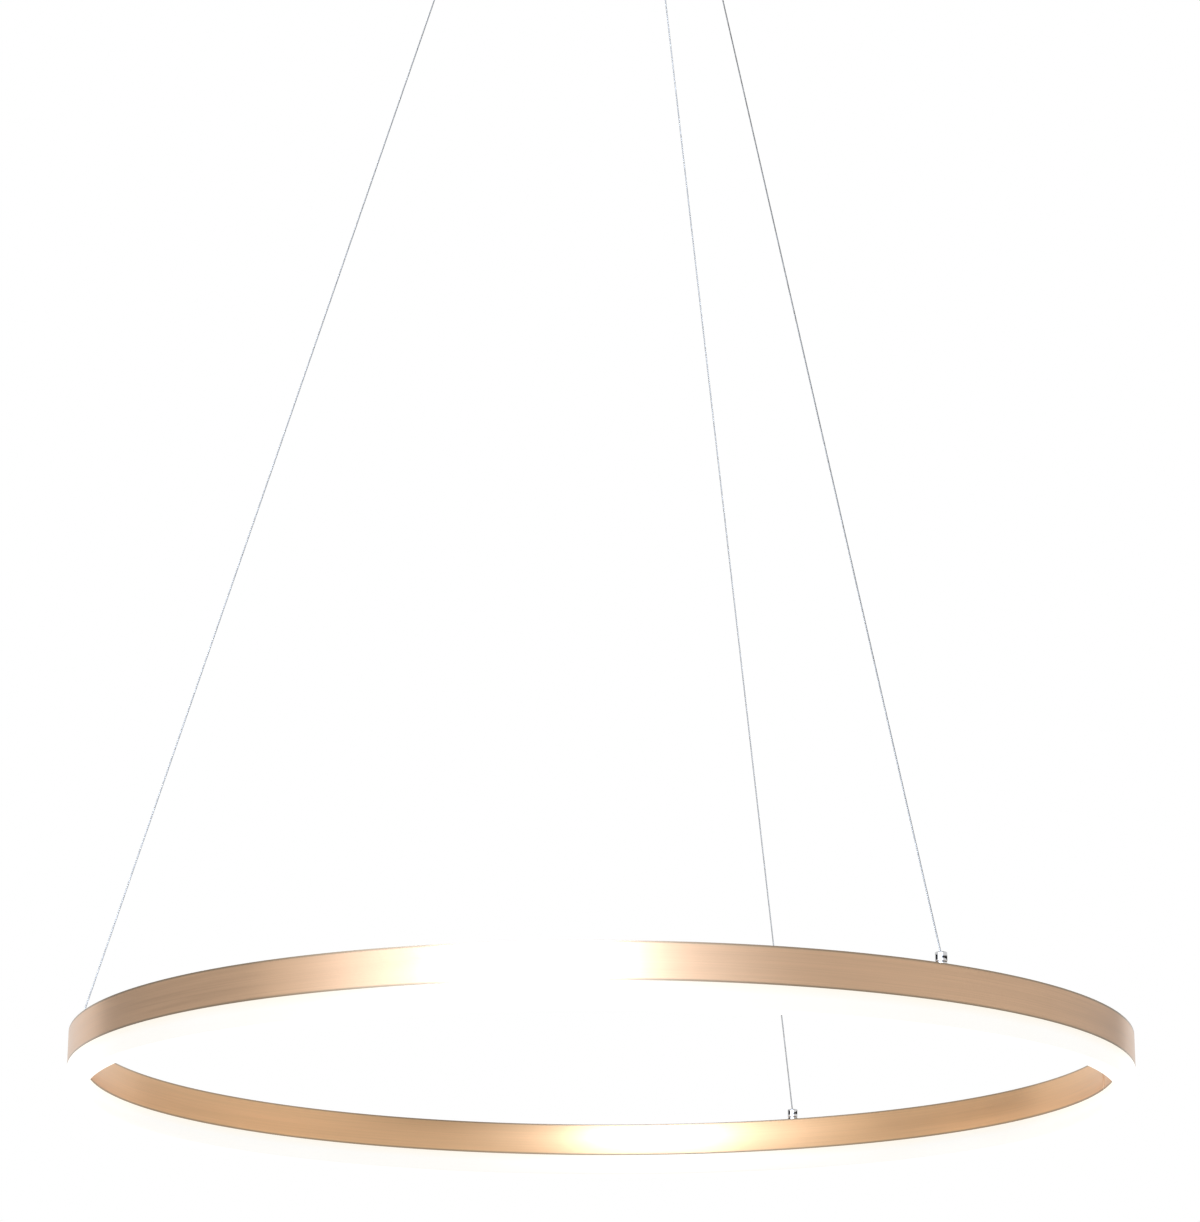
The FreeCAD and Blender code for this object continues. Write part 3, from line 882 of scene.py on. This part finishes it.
@dataclass
class Driver:
    """The driver's moulded case: tray, lid with ribs, sunk ends and cable grommets."""

    finishes: Finishes
    centre: float = -29 * MM
    width: float = 34 * MM
    length: float = 124 * MM
    low: float = -29.8 * MM
    high: float = -10.8 * MM
    lid: float = 5 * MM
    seam: float = 0.6 * MM
    sunk: float = 0.5 * MM
    rounding: float = 1.2 * MM
    ribs: int = 12
    rib_pitch: float = 7 * MM
    rib_width: float = 3 * MM
    rib_height: float = 0.7 * MM
    rib_margin: float = 5 * MM
    end_margin: float = 3.5 * MM
    end_depth: float = 2 * MM
    grommet_radius: float = 3.2 * MM
    grommet_bore: float = 1.4 * MM
    grommet_spacing: float = 8 * MM
    grommet_flange: float = 0.6 * MM
    grommet_reach: float = 1.9 * MM
    grommet_edge: float = 0.2 * MM
    grommet_steps: int = 32

    def build(self) -> None:
        """Build the case and its grommets."""
        top = self.high - self.rib_height
        parting = top - self.lid
        tray = self.block(self.width, self.length, self.low, parting)
        self.sink_ends(tray)
        self.round_off(tray, self.rounding)
        lid = self.block(self.width, self.length, parting + self.seam, top)
        self.round_off(lid, self.rounding)
        neck = self.block(self.width - 2 * self.sunk, self.length - 2 * self.sunk,
                          parting - self.rounding, parting + self.seam + self.rounding)
        self.round_off(neck, 0.4 * self.sunk)
        rib = self.block(self.width - 2 * self.rib_margin, self.rib_width, top - self.sunk,
                         self.high)
        self.round_off(rib, 0.4 * self.rib_height)
        middle = (self.ribs - 1) / 2
        ribs = gather([rib], [Matrix.Translation((0, (number - middle) * self.rib_pitch, 0))
                              for number in range(self.ribs)])
        piece(gather([tray, lid, neck, ribs]), "driver_case", self.finishes.plastic, Body.CANOPY,
              ("led_driver",), smooth_angle=25.0)
        self.build_grommets((self.low + parting) / 2)

    def block(self, width: float, length: float, low: float, high: float) -> Mesh:
        """A block centred on the case.

        Args:
            width: Its size along X.
            length: Its size along Y.
            low: Its lower face.
            high: Its upper face.

        Returns:
            The block's mesh.
        """
        mesh = bmesh.new()
        place = Matrix.Translation((self.centre, 0, (low + high) / 2))
        size = Matrix.Diagonal((width, length, high - low, 1))
        bmesh.ops.create_cube(mesh, size=1.0, matrix=place @ size)
        return mesh

    def sink_ends(self, mesh: Mesh) -> None:
        """Sink a panel into each end.

        Args:
            mesh: The tray.
        """
        mesh.normal_update()
        for end in (1, -1):
            panel = [face for face in mesh.faces if face.normal.y * end > 0.9]
            for margin in (self.end_margin, 0.3 * self.sunk):
                bmesh.ops.inset_region(mesh, faces=panel, thickness=margin, use_even_offset=True)
            corners = {corner for face in panel for corner in face.verts}
            bmesh.ops.translate(mesh, verts=list(corners), vec=(0, -end * self.end_depth, 0))

    @staticmethod
    def round_off(mesh: Mesh, radius: float) -> None:
        """Round a block's outer edges.

        Args:
            mesh: The block.
            radius: The rounding's radius.
        """
        mesh.normal_update()
        sharp = [edge for edge in mesh.edges if edge.is_convex and edge.calc_face_angle(0) > 1.0]
        soften(mesh, sharp, radius)

    def build_grommets(self, level: float) -> None:
        """Build the rubber grommets that the leads pass through.

        Args:
            level: Their height.
        """
        inner = self.length / 2 - self.end_depth
        radius, bore, reach = self.grommet_radius, self.grommet_bore, self.grommet_reach
        corners = [
            Corner(0.0, -0.4 * MM),
            Corner(radius, -0.4 * MM),
            Corner(radius, self.grommet_flange, 0.25 * MM),
            Corner(0.7 * radius, 1.0 * MM, self.grommet_edge),
            Corner(0.6 * radius, reach, self.grommet_edge),
            Corner(bore, reach, 0.1 * MM),
            Corner(0.8 * bore, 0.4 * MM),
            Corner(0.0, 0.4 * MM),
        ]
        places = []
        for end in (1, -1):
            facing = Matrix.Rotation(math.radians(-90 * end), 4, "X")
            for side in (1, -1):
                there = (self.centre + side * self.grommet_spacing / 2, end * inner, level)
                places.append(Matrix.Translation(there) @ facing)
        grommet = turned(corners, self.grommet_steps, closed=False)
        piece(gather([grommet], places), "driver_grommets", self.finishes.foam, Body.CANOPY)


@dataclass
class Suspension:
    """The three taut stranded wires and their upper ends."""

    finishes: Finishes
    layout: Layout
    radius: float = 0.6 * MM
    strands: int = 6
    strand_dip: float = 0.14 * MM
    lay_length: float = 9 * MM
    steps_per_turn: int = 8
    swept_steps: int = 64
    stop_gap: float = 0.1 * MM
    bend_gap: float = 0.25 * MM
    spare: float = 12 * MM

    def build(self) -> None:
        """Build every wire."""
        drop = self.layout.nose_level - self.layout.stop_level
        tilt = math.atan2(self.layout.attach_radius - self.layout.gripper_radius, drop)
        start = (self.stop_gap + self.radius * math.sin(tilt)) / math.cos(tilt)
        tail_top = self.layout.canopy_floor + self.layout.stud_height + self.spare
        feet = self.layout.spots(self.layout.attach_radius, self.layout.stop_level)
        noses = self.layout.spots(self.layout.gripper_radius, self.layout.nose_level)
        for number, (foot, nose) in enumerate(zip(feet, noses), 1):
            low, high = foot.translation, nose.translation
            along = (high - low).normalized()
            wire = self.build_wire(high - self.bend_gap * along, low + start * along,
                                   f"wire_{number}", (f"suspension_wire_{number}",))
            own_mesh(wire)
            self.build_wire(high, Vector((high.x, high.y, tail_top)), f"wire_end_{number}",
                            ("wire_tails",))

    def build_wire(self, start: Vector, end: Vector, name: str, replaced: tuple[str, ...]) -> bpy.types.Object:
        """Args:
            start: Where it leaves the gripper.
            end: Its other end.
            name: The piece's name.
            replaced: The solids it stands for.

        Returns:
            The wire.
        """
        path = straight_route(start, end)
        length = (end - start).length
        mesh = self.twisted(length)
        bmesh.ops.recalc_face_normals(mesh, faces=mesh.faces)
        aim = UP.rotation_difference(end - start).to_matrix().to_4x4()
        bmesh.ops.transform(mesh, matrix=Matrix.Translation(start) @ aim, verts=mesh.verts)
        wire = piece(mesh, name, self.finishes.wire, Body.CANOPY, replaced, 60.0)
        return wire

    def twisted(self, length: float) -> Mesh:
        """Twist the strands: a short stretch is swept, then doubled until it is long enough.

        Args:
            length: The wire's length.

        Returns:
            The wire, standing on the origin.
        """
        turns = length / self.lay_length
        doublings = max(0, math.ceil(math.log2(turns * self.steps_per_turn / self.swept_steps)))
        share = 1 / 2 ** doublings
        steps = math.ceil(turns * self.steps_per_turn * share)
        mesh = bmesh.new()
        made = bmesh.ops.create_circle(mesh, cap_ends=False, segments=2 * self.strands,
                                       radius=self.radius)
        for valley in made["verts"][::2]:
            valley.co *= 1 - self.strand_dip / self.radius
        bmesh.ops.spin(mesh, geom=list(mesh.verts) + list(mesh.edges), cent=(0, 0, 0), axis=UP,
                       dvec=(0, 0, length * share / steps), angle=turns * share * FULL_TURN,
                       steps=steps, use_merge=False, use_duplicate=False)
        for doubling in range(doublings):
            reach = share * 2 ** doubling
            whole = mesh.verts[:] + mesh.edges[:] + mesh.faces[:]
            copy = bmesh.ops.duplicate(mesh, geom=whole)["geom"]
            moved = [part for part in copy if isinstance(part, bmesh.types.BMVert)]
            onward = Matrix.Translation((0, 0, length * reach)) @ Matrix.Rotation(
                turns * reach * FULL_TURN, 4, "Z")
            bmesh.ops.transform(mesh, matrix=onward, verts=moved)
            bmesh.ops.remove_doubles(mesh, verts=mesh.verts, dist=0.01 * self.strand_dip)
        bmesh.ops.holes_fill(mesh, edges=mesh.edges, sides=2 * self.strands)
        return mesh


def straight_route(start: Vector, end: Vector) -> list[Vector]:
    """The line of a taut wire, read from its NURBS route.

    Args:
        start: Its first point.
        end: Its last point.

    Returns:
        Points along the route.
    """
    curve = bpy.data.curves.new("route", "CURVE")
    curve.dimensions = "3D"
    spline = curve.splines.new("NURBS")
    spline.points.add(2)
    for point, place in zip(spline.points, (start, (start + end) / 2, end)):
        point.co = (*place, 1.0)
    spline.order_u = 3
    spline.use_endpoint_u = True
    holder = bpy.data.objects.new("route", curve)
    line = bpy.data.meshes.new_from_object(holder)
    points = [vertex.co.copy() for vertex in line.vertices]
    bpy.data.meshes.remove(line)
    bpy.data.objects.remove(holder)
    bpy.data.curves.remove(curve)
    return points


class Use(Enum):
    """What a soft box is for."""

    LIGHTING = "lighting"
    MIRRORED = "mirrored"


class Fade(Enum):
    """Which side a soft box fades out to, as its strength at the one side and the other."""

    NONE = (1.0, 1.0)
    LEFT = (0.0, 1.0)
    RIGHT = (1.0, 0.0)


@dataclass(frozen=True)
class AreaLight:
    """A soft box round the lamp, at an azimuth counted from the camera to the right."""

    name: str
    azimuth: float
    width: float
    watts: float
    use: Use = Use.MIRRORED
    fade: Fade = Fade.NONE
    height: float = 1.4
    distance: float = 3.2
    rise: float = 0.7
    daylight: Triple = (0.71, 0.82, 1.0)
    neutral: Triple = (1.0, 1.0, 1.0)

    def build(self, target: Vector) -> None:
        """Put the light up.

        Args:
            target: What it is aimed at.
        """
        angle = math.radians(self.azimuth)
        place = target + Vector((self.distance * math.sin(angle),
                                 -self.distance * math.cos(angle), self.rise))
        data = bpy.data.lights.new(self.name, "AREA")
        data.shape = "RECTANGLE"
        data.size, data.size_y = self.width, self.height
        data.energy = self.watts
        data.color = self.daylight if self.use is Use.MIRRORED else self.neutral
        lamp = bpy.data.objects.new(self.name, data)
        lamp.visible_camera = False
        lamp.visible_diffuse = self.use is Use.LIGHTING
        lamp.visible_glossy = self.use is Use.MIRRORED
        if self.fade is not Fade.NONE:
            self.fade_out(data)
        lamp.location = place
        lamp.rotation_mode = "QUATERNION"
        lamp.rotation_quaternion = (target - place).to_track_quat("-Z", "Y")
        bpy.context.scene.collection.objects.link(lamp)
        LOG.info("put up %s", self.name)

    def fade_out(self, data: bpy.types.Light) -> None:
        """Let the light grow weaker towards one side.

        Args:
            data: The light.
        """
        data.use_nodes = True
        nodes = Nodes(data.node_tree)
        spot = nodes.node("NewGeometry").outputs["Parametric"]
        across = nodes.node("SeparateXYZ", spot).outputs["X"]
        first, last = self.fade.value
        ramp = nodes.node("MapRange", settings={"interpolation_type": "SMOOTHSTEP"}, Value=across,
                          To_Min=first, To_Max=last)
        glow = nodes.node("Emission", Strength=ramp.outputs["Result"])
        nodes.node("OutputLight", Surface=glow.outputs["Emission"])


@dataclass(frozen=True)
class Flag:
    """A dark card round the lamp, which gives polished metal something to mirror."""

    name: str
    azimuth: float
    width: float
    low: float
    high: float
    distance: float = 3.2
    steps: int = 12
    colour: Colour = tint(0.004, 0.004, 0.004)

    def build(self, centre: Vector) -> None:
        """Stand the card up.

        Args:
            centre: The point that it faces.
        """
        mesh = bmesh.new()
        ends = [mesh.verts.new((0.0, -self.distance,
                                self.distance * math.tan(math.radians(angle))))
                for angle in (self.low, self.high)]
        edge = mesh.edges.new(ends)
        first = Matrix.Rotation(math.radians(self.azimuth - self.width / 2), 3, "Z")
        bmesh.ops.rotate(mesh, verts=ends, cent=(0, 0, 0), matrix=first)
        bmesh.ops.spin(mesh, geom=[*ends, edge], cent=(0, 0, 0), axis=UP, dvec=(0, 0, 0),
                       angle=math.radians(self.width), steps=self.steps, use_merge=False,
                       use_duplicate=False)
        bmesh.ops.translate(mesh, verts=mesh.verts, vec=centre)
        recipe = Recipe(self.name)
        recipe.shade(Base_Color=self.colour, Roughness=1.0)
        card = placed(mesh, self.name, recipe.material)
        card.visible_camera = card.visible_diffuse = card.visible_shadow = False
        LOG.info("stood up %s", self.name)


@dataclass
class Studio:
    """Floor, white surroundings, soft light and the camera."""

    layout: Layout
    floor_level: float = -6.5
    floor_size: float = 80.0
    floor_colour: Colour = tint(0.86, 0.86, 0.86)
    floor_roughness: float = 0.7
    floor_glow: float = 1.14
    floor_share: float = 0.8
    world_light: float = 0.55
    focal_pixels: float = 3632.2
    frame_height: int = 1222
    frame_width: int = 1200
    centre_column: float = 640.0
    distance: float = 6.8291
    below: float = 1.1299
    pitch: float = 0.2926
    yaw: float = 0.0104
    roll: float = 0.0008
    turn: float = -5.5517
    sensor: float = 36.0
    clip: tuple[float, float] = (0.05, 60.0)
    lights: tuple[AreaLight, ...] = (
        AreaLight("key_light", -14.0, 2.4, 45.0, Use.LIGHTING),
        AreaLight("soft_box", -19.0, 2.05, 112.0),
        AreaLight("left_wing", -54.0, 2.0, 36.0, fade=Fade.LEFT),
        AreaLight("right_wing", 17.0, 2.1, 29.0, fade=Fade.RIGHT),
    )
    flags: tuple[Flag, ...] = (
        Flag("flag_right", azimuth=72.0, width=128.0, low=8.0, high=14.0),
        Flag("flag_left", azimuth=-104.0, width=56.0, low=7.0, high=19.0),
        Flag("flag_above", azimuth=0.0, width=130.0, low=35.0, high=66.0),
    )

    def build(self) -> None:
        """Build everything round the lamp."""
        self.build_floor()
        self.build_world()
        self.build_camera()
        target = Vector((0, 0, self.layout.band_low))
        for thing in (*self.lights, *self.flags):
            thing.build(target)

    def build_floor(self) -> None:
        """Lay the pale floor far below the lamp."""
        mesh = bmesh.new()
        bmesh.ops.create_grid(mesh, x_segments=1, y_segments=1, size=self.floor_size / 2,
                              matrix=Matrix.Translation((0, 0, self.floor_level)))
        recipe = Recipe("pale_floor")
        recipe.shade(Base_Color=self.floor_colour, Roughness=self.floor_roughness)
        glow = recipe.node("Emission", Strength=self.floor_glow).outputs["Emission"]
        share = recipe.math("MULTIPLY", recipe.white_rays(), self.floor_share)
        mixed = recipe.node("MixShader", share, recipe.surface.outputs["BSDF"], glow)
        recipe.feed(recipe.output.inputs["Surface"], mixed.outputs["Shader"])
        placed(mesh, "floor", recipe.material)

    def build_world(self) -> None:
        """Make the surroundings white to the eye and in reflections, and dimmer as a light."""
        world = bpy.data.worlds.new("surroundings")
        world.use_nodes = True
        nodes = Nodes(world.node_tree)
        strength = nodes.node("MapRange", Value=nodes.white_rays(), To_Min=self.world_light,
                              To_Max=1.0)
        background = nodes.node("Background", Color=tint(1.0, 1.0, 1.0),
                                Strength=strength.outputs["Result"])
        nodes.node("OutputWorld", Surface=background.outputs["Background"])
        bpy.context.scene.world = world
        bpy.context.scene.view_settings.view_transform = "Standard"

    def build_camera(self) -> None:
        """Set the camera where the photograph was taken from."""
        forward = Vector((math.sin(self.yaw) * math.cos(self.pitch),
                          math.cos(self.yaw) * math.cos(self.pitch), math.sin(self.pitch)))
        level_right = Vector((math.cos(self.yaw), -math.sin(self.yaw), 0))
        level_up = level_right.cross(forward)
        right = level_right * math.cos(self.roll) + level_up * math.sin(self.roll)
        up = level_up * math.cos(self.roll) - level_right * math.sin(self.roll)
        place = Matrix((right, up, -forward)).transposed().to_4x4()
        place.translation = Vector((0, -self.distance, -self.below)) * RING_RADIUS
        place = Matrix.Rotation(math.radians(self.turn), 4, "Z") @ place
        place.translation.z += self.layout.band_low
        data = bpy.data.cameras.new("camera")
        data.sensor_width = self.sensor
        data.lens = self.focal_pixels / self.frame_height * self.sensor
        data.shift_x = (self.frame_width / 2 - self.centre_column) / self.frame_height
        data.clip_start, data.clip_end = self.clip
        camera = bpy.data.objects.new("camera", data)
        camera.matrix_world = place
        bpy.context.scene.collection.objects.link(camera)
        bpy.context.scene.camera = camera


def main() -> None:
    """Build the studio and the lamp."""
    logging.basicConfig(level=logging.INFO, format="%(name)s: %(message)s")
    layout = Layout()
    finishes = Finishes()
    Studio(layout).build()
    Suspension(finishes, layout).build()
    Ring(finishes, layout).build()
    Canopy(finishes, layout).build()
    Driver(finishes).build()


if __name__ == "__main__":
    main()
